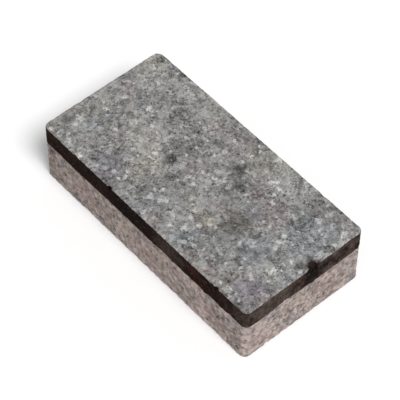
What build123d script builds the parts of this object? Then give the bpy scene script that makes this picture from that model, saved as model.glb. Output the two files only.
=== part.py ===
from build123d import *

import os

# Rectangular concrete paving stone, 200 x 100 x 50 mm, with plain upright
# sides and crisp arrises.
#
# It is pressed in one mould, so it is one solid. It lies as it is laid: length
# along X, width along Y, walking face up. The origin is the middle of the bed
# face, the face that rests on the sand. All sizes are in mm.

# overall size
stone_length = 200.0
stone_width = 100.0
stone_height = 50.0

# rounding that the mould gives to the four upright corners
upright_corner_radius = 5.0

# rounding of the rims, softer round the walking face than round the bed face
walking_rim_radius = 1.2
bed_rim_radius = 0.8


# the stone
with BuildPart() as paving_stone:
    with BuildSketch(Plane.XY):
        RectangleRounded(stone_length, stone_width, upright_corner_radius)
    extrude(amount=stone_height)

    walking_rim = paving_stone.faces().sort_by(Axis.Z)[-1].edges()
    fillet(walking_rim, radius=walking_rim_radius)

    bed_rim = paving_stone.faces().sort_by(Axis.Z)[0].edges()
    fillet(bed_rim, radius=bed_rim_radius)
paving_stone.part.label = "paving_stone"


os.makedirs("parts", exist_ok=True)
export_step(paving_stone.part, "parts/paving_stone.step")
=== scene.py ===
import math

import bmesh
import bpy
from mathutils import Matrix, Vector, noise


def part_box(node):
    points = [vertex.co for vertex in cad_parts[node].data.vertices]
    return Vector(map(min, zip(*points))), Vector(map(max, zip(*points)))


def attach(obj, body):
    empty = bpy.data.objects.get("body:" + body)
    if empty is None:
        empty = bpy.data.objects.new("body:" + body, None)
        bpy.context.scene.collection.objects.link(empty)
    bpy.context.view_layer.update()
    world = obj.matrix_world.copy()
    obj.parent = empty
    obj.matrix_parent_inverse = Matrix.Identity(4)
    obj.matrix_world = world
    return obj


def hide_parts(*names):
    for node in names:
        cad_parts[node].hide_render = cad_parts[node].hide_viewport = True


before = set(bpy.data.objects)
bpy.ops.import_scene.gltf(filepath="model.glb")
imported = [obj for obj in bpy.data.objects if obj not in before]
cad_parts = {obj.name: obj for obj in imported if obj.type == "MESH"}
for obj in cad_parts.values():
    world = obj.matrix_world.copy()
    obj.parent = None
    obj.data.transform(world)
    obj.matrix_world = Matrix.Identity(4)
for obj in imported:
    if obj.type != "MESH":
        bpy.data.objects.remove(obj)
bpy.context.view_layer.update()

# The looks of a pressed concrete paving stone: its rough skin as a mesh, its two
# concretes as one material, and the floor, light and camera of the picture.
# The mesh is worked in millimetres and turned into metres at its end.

METRES_PER_MM = 0.001

stone_low, stone_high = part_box("paving_stone")

# the stone's height, how much of it is facing, and the height at which the
# facing meets the backing, in mm
stone_height = (stone_high.z - stone_low.z) / METRES_PER_MM
facing_depth = 16.0
facing_line = stone_height - facing_depth

# the mould's rounding, and the spacing of the skin's mesh, in mm
upright_corner_radius = 5.0
walking_rim_radius = 1.2
bed_rim_radius = 0.8
skin_spacing = 0.87


# Light, floor and camera


def whether_looked_at(tree):
    """1 for the camera's rays and for those that gloss or glass would send, 0 for the light's."""
    path = tree.nodes.new("ShaderNodeLightPath")
    seen = path.outputs["Is Camera Ray"]
    for name in ("Is Glossy Ray", "Is Transmission Ray"):
        either = tree.nodes.new("ShaderNodeMath")
        either.operation = "MAXIMUM"
        tree.links.new(seen, either.inputs[0])
        tree.links.new(path.outputs[name], either.inputs[1])
        seen = either.outputs[0]
    return seen


def light_one_show_another(tree, lighting, showing, out):
    """Gives the light's rays one shader, and whatever looks there another."""
    choice = tree.nodes.new("ShaderNodeMixShader")
    tree.links.new(whether_looked_at(tree), choice.inputs["Fac"])
    tree.links.new(lighting.outputs[0], choice.inputs[1])
    tree.links.new(showing.outputs[0], choice.inputs[2])
    tree.links.new(choice.outputs[0], out.inputs["Surface"])


def white_sky(tree, strength):
    """The same white from every direction."""
    sky = tree.nodes.new("ShaderNodeBackground")
    sky.inputs["Strength"].default_value = strength
    sky.inputs["Color"].default_value = (1.0, 1.0, 1.0, 1.0)
    return sky


def light_the_studio(sky_strength, lamp_strength, lamp_from, lamp_spread):
    """An even sky that shows as plain white, and one broad lamp to the right of the camera."""
    world = bpy.data.worlds.new("studio")
    world.use_nodes = True
    tree = world.node_tree
    tree.nodes.clear()
    out = tree.nodes.new("ShaderNodeOutputWorld")
    light_one_show_another(tree, white_sky(tree, sky_strength), white_sky(tree, 1.0), out)
    bpy.context.scene.world = world

    lamp = bpy.data.lights.new("broad_lamp", "SUN")
    lamp.energy = lamp_strength
    lamp.angle = math.radians(lamp_spread)
    holder = bpy.data.objects.new("broad_lamp", lamp)
    holder.rotation_euler = Vector(lamp_from).to_track_quat("Z", "Y").to_euler()
    bpy.context.scene.collection.objects.link(holder)


def lay_the_floor(side, gap, paleness, lift):
    """A plain pale floor just under the stone, lifted to white where it is looked at."""
    mesh = bpy.data.meshes.new("floor")
    bm = bmesh.new()
    bmesh.ops.create_grid(bm, x_segments=1, y_segments=1, size=side / 2)
    bmesh.ops.translate(bm, verts=bm.verts, vec=(0, 0, stone_low.z - gap))
    bm.to_mesh(mesh)
    bm.free()
    floor = bpy.data.objects.new("floor", mesh)
    bpy.context.scene.collection.objects.link(floor)

    material = bpy.data.materials.new("pale_floor")
    material.use_nodes = True
    tree = material.node_tree
    shader = tree.nodes["Principled BSDF"]
    shader.inputs["Base Color"].default_value = (paleness, paleness, paleness, 1.0)
    shader.inputs["Roughness"].default_value = 1.0
    shader.inputs["Specular IOR Level"].default_value = 0.0
    glow = tree.nodes.new("ShaderNodeEmission")
    glow.inputs["Strength"].default_value = lift
    lifted = tree.nodes.new("ShaderNodeAddShader")
    tree.links.new(shader.outputs[0], lifted.inputs[0])
    tree.links.new(glow.outputs[0], lifted.inputs[1])
    light_one_show_another(tree, shader, lifted, tree.nodes["Material Output"])
    mesh.materials.append(material)


def place_the_camera(azimuth, elevation, distance, roll, focal_length):
    """Looks at the middle of the stone, from the photograph's side of it."""
    aim = (stone_low + stone_high) / 2
    turn = math.radians(azimuth)
    climb = math.radians(elevation)
    back = Vector((
        math.sin(turn) * math.cos(climb),
        -math.cos(turn) * math.cos(climb),
        math.sin(climb),
    ))
    data = bpy.data.cameras.new("camera")
    data.lens = focal_length
    data.clip_start = 0.05
    data.clip_end = 50.0
    camera = bpy.data.objects.new("camera", data)
    level = back.to_track_quat("Z", "Y").to_matrix().to_4x4()
    tilt = Matrix.Rotation(math.radians(roll), 4, "Z")
    camera.matrix_world = Matrix.Translation(aim + back * distance) @ level @ tilt
    bpy.context.scene.collection.objects.link(camera)
    bpy.context.scene.camera = camera


# The rough skin of the stone, as a mesh in mm


def smooth_step(low, high, value):
    """0 at low and beyond it, 1 at high and beyond it, with an easy curve between."""
    share = min(1.0, max(0.0, (value - low) / (high - low)))
    return share * share * (3.0 - 2.0 * share)


def swell(place, size, seed):
    """Slow waves from 0 to 1, about size across."""
    return 0.5 + 0.5 * noise.noise(place / size + Vector((seed, seed, seed)))


def grit(place, size, seed):
    """Packed grains about size across: 0 on their crowns, 1 in the gaps."""
    gap_from_crown = 0.7
    distances = noise.voronoi(place / size + Vector((seed, 0.0, seed)))[0]
    return min(1.0, distances[0] / gap_from_crown)


def pores(place, spacing, share, widest, seed):
    """Round holes in that share of a lattice's cells: 1 in the middle of a hole, 0 outside."""
    distances, middles = noise.voronoi(place / spacing + Vector((0.0, seed, seed)))
    unlike_neighbours = 7.31
    draw = 0.5 + 0.5 * noise.cell(middles[0] * unlike_neighbours)
    if draw > share:
        return 0.0
    narrowest = 0.35
    radius = widest / spacing * (narrowest + (1.0 - narrowest) * draw / share)
    return max(0.0, 1.0 - (distances[0] / radius) ** 2)


def drag_lines(place, seed):
    """Upright marks that the mould's walls leave on the sides, from 0 to 1."""
    width = 2.2
    length = 30.0
    drawn_out = Vector((place.x / width, place.y / width, place.z / length))
    return 0.5 + 0.5 * noise.noise(drawn_out + Vector((seed, 0.0, 0.0)))


def walking_face_depth(place):
    """Fine, close grain pressed flat by the tamper, with a few small pores."""
    return (
        0.12 * swell(place, size=26.0, seed=3.1)
        + 0.20 * grit(place, size=2.5, seed=1.7) ** 2
        + 0.70 * pores(place, spacing=6.0, share=0.22, widest=1.7, seed=5.3)
    )


def facing_side_depth(place):
    """Dense fine concrete with drag lines and small pores."""
    return (
        0.08 * swell(place, size=15.0, seed=4.4)
        + 0.18 * grit(place, size=2.4, seed=2.9) ** 2
        + 0.12 * drag_lines(place, seed=8.5)
        + 0.80 * pores(place, spacing=5.5, share=0.26, widest=1.8, seed=6.1)
    )


def backing_side_depth(place):
    """Coarser concrete, with open pores between its grains."""
    return (
        0.18 * swell(place, size=18.0, seed=7.7)
        + 0.55 * grit(place, size=3.6, seed=9.2) ** 2
        + 0.20 * drag_lines(place, seed=2.5)
        + 1.50 * pores(place, spacing=8.0, share=0.42, widest=2.7, seed=12.9)
        + 0.90 * pores(place, spacing=4.5, share=0.30, widest=1.6, seed=15.3)
    )


def bed_face_depth(place):
    """The coarse underside, pressed against a flat board."""
    return (
        0.14 * swell(place, size=22.0, seed=17.1)
        + 0.50 * grit(place, size=3.8, seed=19.4) ** 2
        + 1.60 * pores(place, spacing=9.0, share=0.42, widest=3.0, seed=23.2)
        + 0.80 * pores(place, spacing=4.5, share=0.25, widest=1.6, seed=27.6)
    )


# chips out of the arrises, in mm from the middle of the bed face: their middle, width and depth
arris_chips = (
    ((99.0, 7.5, 50.2), 10.0, 2.0),
    ((72.0, -49.8, 49.9), 3.6, 0.9),
    ((-31.0, -49.8, 49.9), 4.4, 1.0),
    ((-84.0, 49.8, 49.8), 3.6, 0.8),
    ((63.0, 49.8, 49.9), 3.8, 0.9),
    ((-99.8, -17.0, 49.8), 3.5, 0.8),
    ((99.6, -31.0, 0.2), 4.6, 1.0),
    ((34.0, -49.7, 0.2), 5.0, 1.1),
    ((-58.0, -49.7, 0.2), 4.2, 0.9),
    ((-99.7, 21.0, 0.2), 5.2, 1.2),
    ((12.0, 49.7, 0.2), 4.6, 1.0),
)


def chipped(place):
    """How deep the nearest chip is here, with a ragged edge."""
    raggedness = 0.7
    farthest_ragged_edge = 1.6
    for middle, width, depth in arris_chips:
        away = (place - Vector(middle)).length / (width / 2)
        if away < farthest_ragged_edge:
            ragged = away + raggedness * (swell(place, size=1.9, seed=52.0) - 0.5)
            return depth * smooth_step(low=1.1, high=0.2, value=ragged)
    return 0.0


def rim_wear(place, normal):
    """Crumbled grains along the arrises, slight above and coarser below."""
    slope = abs(normal.z)
    on_rim = smooth_step(low=0.15, high=0.5, value=slope) * smooth_step(low=0.98, high=0.8, value=slope)
    # only what rises over these levels leaves a mark, so the marks stand apart
    crumb_level = 0.45
    nick_level = 0.68
    crumbs = max(0.0, swell(place, size=3.0, seed=31.0) - crumb_level)
    nicks = max(0.0, swell(place, size=6.0, seed=37.0) - nick_level)
    coarseness = 0.6 if normal.z > 0 else 1.4
    return on_rim * (crumbs + 5.0 * nicks) * coarseness


def skin_depth(place, normal):
    """How far the skin lies inside the mould's face, in mm."""
    least = 0.02
    line_wander = 1.2
    line_softness = 0.6
    top = smooth_step(low=0.5, high=0.9, value=normal.z)
    bed = smooth_step(low=0.5, high=0.9, value=-normal.z)
    side = 1.0 - top - bed
    depth = least + rim_wear(place, normal) + chipped(place)
    if top > 0.0:
        depth += top * walking_face_depth(place)
    if bed > 0.0:
        depth += bed * bed_face_depth(place)
    if side > 0.0:
        height = place.z + line_wander * (swell(place, size=14.0, seed=40.0) - 0.5)
        dark = smooth_step(facing_line - line_softness, facing_line + line_softness, height)
        depth += side * dark * facing_side_depth(place)
        depth += side * (1.0 - dark) * backing_side_depth(place)
    return depth


def round_edges(bm, edges, radius, steps):
    """A round of that radius along the edges."""
    bmesh.ops.bevel(
        bm, geom=edges, offset=radius, offset_type="OFFSET", segments=steps,
        profile=0.5, affect="EDGES", material=-1,
    )


def moulded_block():
    """The plain block as it would leave a perfect mould."""
    size = (stone_high - stone_low) / METRES_PER_MM
    middle = (stone_high + stone_low) / 2 / METRES_PER_MM
    bm = bmesh.new()
    bmesh.ops.create_cube(bm, size=1.0)
    bmesh.ops.scale(bm, vec=size, verts=bm.verts)
    bmesh.ops.translate(bm, vec=middle, verts=bm.verts)

    least_rise = 1.0
    uprights = [e for e in bm.edges if abs(e.verts[0].co.z - e.verts[1].co.z) > least_rise]
    round_edges(bm, uprights, upright_corner_radius, steps=12)
    same_level = 1e-4
    for level, radius in ((size.z, walking_rim_radius), (0.0, bed_rim_radius)):
        rim = [e for e in bm.edges if all(abs(v.co.z - level) < same_level for v in e.verts)]
        round_edges(bm, rim, radius, steps=4)
    return bm


def even_skin(bm, spacing):
    """The block's mesh again, in small even faces."""
    coarse = bpy.data.meshes.new("coarse")
    bm.to_mesh(coarse)
    bm.free()
    holder = bpy.data.objects.new("coarse", coarse)
    bpy.context.scene.collection.objects.link(holder)
    skin = holder.modifiers.new("even_skin", "REMESH")
    skin.mode = "VOXEL"
    skin.voxel_size = spacing
    finished = holder.evaluated_get(bpy.context.evaluated_depsgraph_get())
    fine = bmesh.new()
    fine.from_mesh(finished.to_mesh())
    bpy.data.objects.remove(holder)
    return fine


def pressed_stone():
    """The whole stone, with its grain, pores and crumbled arrises."""
    bm = even_skin(moulded_block(), skin_spacing)
    # the skin's depth, which the material reads to paint shade in the hollows
    hollow = bm.verts.layers.float.new("hollow")
    bm.normal_update()
    depths = [skin_depth(v.co, v.normal) for v in bm.verts]
    for vert, depth in zip(bm.verts, depths):
        vert[hollow] = depth
        vert.co -= vert.normal * depth
    bmesh.ops.scale(bm, vec=(METRES_PER_MM,) * 3, verts=bm.verts)
    for face in bm.faces:
        face.smooth = True
    mesh = bpy.data.meshes.new("stone")
    bm.to_mesh(mesh)
    bm.free()
    stone = bpy.data.objects.new("stone", mesh)
    bpy.context.scene.collection.objects.link(stone)
    return stone


# How a material is written


class Field:
    """Something that varies over the stone: the output socket of a shader node."""

    def __init__(self, finish, socket):
        self.finish = finish
        self.socket = socket

    def __add__(self, other):
        return self.finish.maths("ADD", self, other)

    __radd__ = __add__

    def __sub__(self, other):
        return self.finish.maths("SUBTRACT", self, other)

    def __rsub__(self, other):
        return self.finish.maths("SUBTRACT", other, self)

    def __mul__(self, other):
        return self.finish.maths("MULTIPLY", self, other)

    __rmul__ = __mul__


class Finish:
    """A material under construction."""

    def __init__(self, name):
        self.material = bpy.data.materials.new(name)
        self.material.use_nodes = True
        self.tree = self.material.node_tree
        self.tree.nodes.clear()

    def node(self, kind, settings, values, output=None):
        """Adds a node, sets it, fills or links its sockets, and gives the output named, or its first."""
        made = self.tree.nodes.new(kind)
        for name, setting in settings.items():
            setattr(made, name, setting)
        for key, value in values.items():
            if isinstance(key, int):
                socket = made.inputs[key]
            else:
                socket = next(s for s in made.inputs if s.enabled and s.name == key)
            if isinstance(value, Field):
                self.tree.links.new(value.socket, socket)
            else:
                socket.default_value = value
        given = [s for s in made.outputs if s.enabled and output in (None, s.name)]
        return Field(self, given[0]) if given else None

    def maths(self, operation, *numbers):
        """Maths on fields and numbers."""
        return self.node("ShaderNodeMath", {"operation": operation}, dict(enumerate(numbers)))

    def vector_maths(self, operation, *vectors):
        """Maths on places and directions."""
        return self.node("ShaderNodeVectorMath", {"operation": operation}, dict(enumerate(vectors)))

    def mixed(self, first, second, share, how="MIX"):
        """Two colours mixed by a share, or in another way, such as MULTIPLY."""
        settings = {"data_type": "RGBA", "blend_type": how}
        return self.node("ShaderNodeMix", settings, {"Factor": share, "A": first, "B": second})

    def between(self, value, low, high):
        """0 at low and beyond it, 1 at high and beyond it, with an easy curve between."""
        settings = {"interpolation_type": "SMOOTHSTEP"}
        values = {"Value": value, "From Min": low, "From Max": high}
        return self.node("ShaderNodeMapRange", settings, values)

    def place(self):
        """Where a point of the stone is, in mm."""
        metres = self.node("ShaderNodeTexCoord", {}, {}, "Object")
        values = {"Vector": metres, "Scale": 1.0 / METRES_PER_MM}
        return self.node("ShaderNodeVectorMath", {"operation": "SCALE"}, values)

    def elsewhere(self, place, seed):
        """The place moved along, so that each pattern is a different one."""
        return self.vector_maths("ADD", place, (seed * 7.0, seed * 3.0, seed * 5.0))

    def away_from(self, place, spot):
        """The distance to a spot, in mm."""
        return self.vector_maths("DISTANCE", place, spot)

    def clouds(self, place, size, detail, seed, distortion=0.0, harshness=0.55):
        """Noise from 0 to 1, whose broadest patches are about size mm across."""
        values = {
            "Vector": self.elsewhere(place, seed), "Scale": 1.0 / size, "Detail": detail,
            "Roughness": harshness, "Distortion": distortion,
        }
        return self.node("ShaderNodeTexNoise", {}, values)

    def drag_marks(self, place, size, seed):
        """Noise from 0 to 1 drawn out upwards, as the mould's walls drag it."""
        drawn_out = self.vector_maths("MULTIPLY", place, (1.0, 1.0, 0.14))
        return self.clouds(drawn_out, size, detail=3.0, seed=seed)

    def pushed(self, place, size, reach, seed):
        """The place pushed about by up to reach mm, so that a shape drawn from it is ragged."""
        values = {"Vector": self.elsewhere(place, seed), "Scale": 1.0 / size, "Detail": 2.0}
        push = self.node("ShaderNodeTexNoise", {}, values, "Color")
        push = self.vector_maths("MULTIPLY_ADD", push, (2 * reach,) * 3, (-reach,) * 3)
        return self.vector_maths("ADD", place, push)

    def cells(self, place, size, seed, output):
        """Cells about size mm across: the Color of each, or the Distance from its middle."""
        values = {"Vector": self.elsewhere(place, seed), "Scale": 1.0 / size}
        return self.node("ShaderNodeTexVoronoi", {}, values, output)

    def grains(self, place, size, seed):
        """A draw from 0 to 1 for each grain, about size mm across."""
        return self.node("ShaderNodeSeparateColor", {}, {"Color": self.cells(place, size, seed, "Color")})

    def domes(self, place, size, seed):
        """Packed round grains: 1 on their crowns, falling towards 0 between them."""
        away = self.cells(place, size, seed, "Distance")
        return 1.0 - away * away

    def holes(self, place, spacing, widest, seed):
        """Bubbles cut open by the surface: 1 in the middle of each, 0 outside."""
        edge = 0.5 * widest / spacing
        bottom = 0.16 * widest / spacing
        return self.between(self.cells(place, spacing, seed, "Distance"), edge, bottom)


# The concretes' colours


def colour(red, green, blue):
    """A colour read off a screen, 0 to 255, as the shader wants it."""
    shares = (red / 255.0, green / 255.0, blue / 255.0)
    linear = [s / 12.92 if s <= 0.04045 else ((s + 0.055) / 1.055) ** 2.4 for s in shares]
    return (*linear, 1.0)


# places in mm: off the middle of the free end, and the palest part of the near side
free_end = (150.0, 0.0, 40.0)
palest_side = (40.0, -50.0, 17.0)

# Clouds in the walking face's grey: their size in mm and seed, their colour, and
# the levels of the noise between which they come up.
walking_face_clouds = (
    (46.0, 1.3, colour(161, 159, 153), 0.50, 0.64),
    (38.0, 6.7, colour(136, 137, 140), 0.52, 0.70),
    (27.0, 9.1, colour(143, 137, 135), 0.53, 0.70),
)

# Stains soaked into the concrete, in mm from the middle of the stone: where
# each is, how far across, its colour and how strongly it shows.
dark_grey = colour(84, 84, 84)
pit_brown = colour(60, 53, 49)
umber = colour(102, 99, 93)
slate_grey = colour(116, 119, 121)
slate_blue = colour(129, 134, 139)
pale_blue = colour(151, 155, 159)
violet = colour(136, 129, 141)
rust_pink = colour(150, 137, 136)
pale_grey = colour(172, 172, 169)
cream = colour(166, 163, 152)
amber = colour(145, 138, 124)
soot = colour(10, 2, 0)
ash_brown = colour(83, 72, 65)

walking_face_stains = (
    (-23.0, -5.0, 9.0, dark_grey, 0.90),
    (-80.0, 2.0, 5.0, dark_grey, 0.60),
    (-56.0, -5.0, 7.0, dark_grey, 0.50),
    (12.0, 22.0, 16.0, dark_grey, 0.95),
    (22.0, 14.0, 9.0, dark_grey, 0.50),
    (-93.0, -32.0, 12.0, dark_grey, 0.50),
    (96.0, 7.5, 17.0, pit_brown, 0.90),
    (46.0, -20.0, 34.0, slate_grey, 0.50),
    (43.0, -8.0, 28.0, umber, 0.80),
    (28.0, -19.0, 16.0, amber, 0.40),
    (67.0, -13.0, 30.0, slate_blue, 0.60),
    (80.0, 22.0, 44.0, pale_blue, 0.65),
    (31.0, -39.0, 22.0, pale_blue, 0.50),
    (86.0, -35.0, 24.0, violet, 0.60),
    (-41.0, -40.0, 26.0, violet, 0.40),
    (54.0, 16.0, 28.0, rust_pink, 0.50),
    (60.0, -45.0, 18.0, rust_pink, 0.60),
    (7.0, -45.0, 12.0, rust_pink, 0.60),
    (85.0, -13.0, 16.0, pale_grey, 0.50),
    (-73.0, 40.0, 16.0, pale_grey, 0.60),
    (-30.0, -20.0, 30.0, cream, 0.60),
)

facing_stains = (
    (-12.0, -50.0, 52.0, soot, 0.90),
    (-80.0, -50.0, 30.0, soot, 0.40),
    (26.0, -50.0, 30.0, ash_brown, 0.48),
    (100.0, -30.0, 44.0, ash_brown, 0.60),
    (100.0, 6.0, 22.0, soot, 0.95),
)


def stained(finish, place, ragged, tint, stains, height):
    """The colour with its stains soaked in: the broad ones wander, the small ones are specks."""
    wandering = finish.pushed(place, size=9.0, reach=7.0, seed=3.3)
    patchy = 0.55 + finish.clouds(place, size=3.5, detail=3.0, seed=8.4) * 0.9
    widest_speck = 10.0
    for x, y, across, stain, strength in stains:
        outline = ragged if across < widest_speck else wandering
        away = finish.away_from(outline, (x, y, height))
        share = finish.between(away, across * 0.62, across * 0.12) * patchy * strength
        tint = finish.mixed(tint, stain, share)
    return tint


def walking_skin_colour(finish, place, ragged):
    """Mid grey, clouded with cream, blue grey and pinkish grey, and mottled down to its grains."""
    tint = colour(150, 149, 147)
    for size, seed, cloud_colour, low, high in walking_face_clouds:
        cloud = finish.clouds(place, size, detail=4.0, seed=seed, distortion=0.6)
        tint = finish.mixed(tint, cloud_colour, finish.between(cloud, low, high))
    tint = stained(finish, place, ragged, tint, walking_face_stains, stone_height)

    mottle = finish.clouds(place, size=34.0, detail=5.0, seed=11.2, harshness=0.85) - 0.5
    clumps = finish.clouds(place, size=9.0, detail=3.0, seed=14.6, harshness=0.95) - 0.5
    sand = finish.clouds(place, size=1.1, detail=2.0, seed=17.9) - 0.5
    grain = finish.grains(ragged, size=2.4, seed=19.0) - 0.5
    fine_grain = finish.grains(ragged, size=1.2, seed=21.0)
    crowds = finish.clouds(place, size=7.0, detail=3.0, seed=24.3, harshness=0.8)
    crowded = finish.between(crowds, 0.38, 0.62)
    flecks = finish.between(finish.grains(ragged, size=2.9, seed=23.0), 0.70, 1.0) * crowded
    light = 0.88 + mottle * 1.8 + clumps * 2.1 + sand * 0.8 + grain * 0.42
    light = light + (fine_grain - 0.5) * 0.34 + flecks * 1.10
    tint = finish.mixed(tint, light, 1.0, "MULTIPLY")

    pale_grains = finish.between(fine_grain, 0.93, 0.97) * 0.4
    tint = finish.mixed(tint, colour(178, 177, 173), pale_grains)
    dark_grains = finish.between(fine_grain, 0.07, 0.03) * 0.45
    return finish.mixed(tint, colour(86, 85, 84), dark_grains)


def facing_colour(finish, place, ragged):
    """Nearly black brown concrete, rusty and dusty in places, with a few grey grains."""
    mottle = finish.clouds(place, size=7.0, detail=5.0, seed=31.5, harshness=0.8)
    tint = finish.mixed(colour(18, 5, 2), colour(44, 25, 18), finish.between(mottle, 0.40, 0.66))
    rusty = finish.clouds(place, size=19.0, detail=3.0, seed=33.0)
    tint = finish.mixed(tint, colour(54, 25, 15), finish.between(rusty, 0.52, 0.70) * 0.7)
    dusty = finish.clouds(place, size=9.0, detail=4.0, seed=37.4, harshness=0.7)
    by_free_end = finish.between(finish.away_from(place, free_end), 92.0, 58.0)
    dusty = finish.between(dusty, 0.34, 0.60) * by_free_end
    tint = finish.mixed(tint, colour(82, 71, 66), dusty * 0.85)
    tint = stained(finish, place, ragged, tint, facing_stains, stone_height - facing_depth / 2)

    grain = finish.grains(ragged, size=1.7, seed=35.0)
    light = 0.6 + grain * 0.8 + (finish.drag_marks(place, size=2.6, seed=39.0) - 0.5) * 1.2
    tint = finish.mixed(tint, light, 1.0, "MULTIPLY")
    grey_grains = finish.between(grain, 0.92, 0.98) * 0.4
    return finish.mixed(tint, colour(72, 65, 60), grey_grains)


def backing_colour(finish, place, ragged):
    """Pinkish grey concrete with violet grey patches, and grains from chalky and tan to dark."""
    broad = finish.clouds(place, size=26.0, detail=3.0, seed=41.2, distortion=0.4)
    tint = finish.mixed(colour(179, 166, 159), colour(187, 169, 164), finish.between(broad, 0.4, 0.6))
    cool = finish.clouds(place, size=20.0, detail=3.0, seed=47.3, distortion=0.4)
    tint = finish.mixed(tint, colour(165, 157, 157), finish.between(cool, 0.52, 0.68))

    clean = finish.between(finish.away_from(place, palest_side), 170.0, 30.0)
    mottle = finish.clouds(place, size=12.0, detail=5.0, seed=53.7, harshness=0.75) - 0.5
    sand = finish.clouds(place, size=1.3, detail=3.0, seed=59.1) - 0.5
    grain = finish.grains(ragged, size=2.6, seed=55.0)
    fine_grain = finish.grains(ragged, size=1.4, seed=61.0)
    streak = finish.drag_marks(place, size=3.4, seed=67.0) - 0.5
    light = 0.90 + clean * 0.22 + mottle * 1.2 + sand * 0.8 + streak * 0.8
    light = light + (grain - 0.5) * 0.20 + (fine_grain - 0.5) * 0.25
    tint = finish.mixed(tint, light, 1.0, "MULTIPLY")

    chalky_grains = finish.between(grain, 0.90, 0.95) * 0.4
    tint = finish.mixed(tint, colour(204, 194, 186), chalky_grains)
    tan_grains = finish.between(fine_grain, 0.88, 0.93) * 0.35
    tint = finish.mixed(tint, colour(182, 158, 138), tan_grains)
    dark_grains = finish.between(grain, 0.06, 0.02) * 0.4
    return finish.mixed(tint, colour(108, 99, 95), dark_grains)


def two_concretes():
    """The whole stone's material: a dark facing with a pale grey skin, over a pinkish backing, with painted
    shade in its hollows and holes.
    """
    finish = Finish("pressed_concrete")
    place = finish.place()
    ragged = finish.pushed(place, size=1.5, reach=0.9, seed=5.0)
    height = finish.node("ShaderNodeSeparateXYZ", {}, {"Vector": place}, "Z")
    hollow = finish.node("ShaderNodeAttribute", {"attribute_name": "hollow"}, {}, "Fac")

    wander = finish.clouds(place, size=20.0, detail=4.0, seed=71.0, harshness=0.7) - 0.5
    crumbs = finish.clouds(place, size=2.0, detail=2.0, seed=73.0) - 0.5
    line = height + wander * 9.0 + crumbs * 2.0
    line_softness = 0.35
    is_facing = finish.between(line, facing_line - line_softness, facing_line + line_softness)
    skin_ends = stone_height - 0.95
    skin_is_whole = stone_height - 0.55
    is_skin = finish.between(height + crumbs * 0.8, skin_ends, skin_is_whole)

    facing = facing_colour(finish, place, ragged)
    tint = finish.mixed(backing_colour(finish, place, ragged), facing, is_facing)
    tint = finish.mixed(tint, walking_skin_colour(finish, place, ragged), is_skin)

    crowded = finish.between(finish.clouds(place, size=13.0, detail=2.0, seed=77.0), 0.42, 0.60)
    small_holes = finish.holes(ragged, spacing=2.4, widest=1.3, seed=4.0) * crowded
    open_holes = finish.holes(ragged, spacing=5.4, widest=3.0, seed=9.0) * (1.0 - is_facing)
    cavity = finish.maths("MAXIMUM", small_holes, open_holes)
    # painted shade: the colour is darkened where the skin lies deep below the mould's face and inside the
    # holes, standing in for the shade that falls there
    painted_shade = (1.0 - finish.between(hollow, 0.15, 0.9) * 0.4) * (1.0 - cavity * 0.45)
    tint = finish.mixed(tint, painted_shade, 1.0, "MULTIPLY")

    sand = finish.clouds(place, size=1.0, detail=3.0, seed=81.0)
    grain = finish.domes(ragged, size=1.6, seed=85.0)
    stones = finish.domes(ragged, size=3.6, seed=87.0) * (1.0 - is_facing)
    relief = sand * 0.85 + grain * 0.4 + stones * 0.45 - cavity
    bump = finish.node("ShaderNodeBump", {}, {"Strength": 1.0, "Distance": METRES_PER_MM, "Height": relief})
    rough = 0.84 + finish.clouds(place, size=3.0, detail=2.0, seed=91.0) * 0.16
    shader = finish.node("ShaderNodeBsdfPrincipled", {}, {
        "Base Color": tint, "Roughness": rough, "Specular IOR Level": 0.06, "Normal": bump,
    })
    finish.node("ShaderNodeOutputMaterial", {}, {"Surface": shader})
    return finish.material


# The picture

bpy.context.scene.view_settings.view_transform = "Standard"
light_the_studio(sky_strength=0.36, lamp_strength=2.55, lamp_from=(0.54, -0.10, 0.83), lamp_spread=24.0)
lay_the_floor(side=12.0, gap=0.0001, paleness=0.93, lift=0.08)
place_the_camera(azimuth=48.5, elevation=52.6, distance=1.30, roll=0.5, focal_length=179.8)

stone = pressed_stone()
stone.data.materials.append(two_concretes())
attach(stone, "root")
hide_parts("paving_stone")
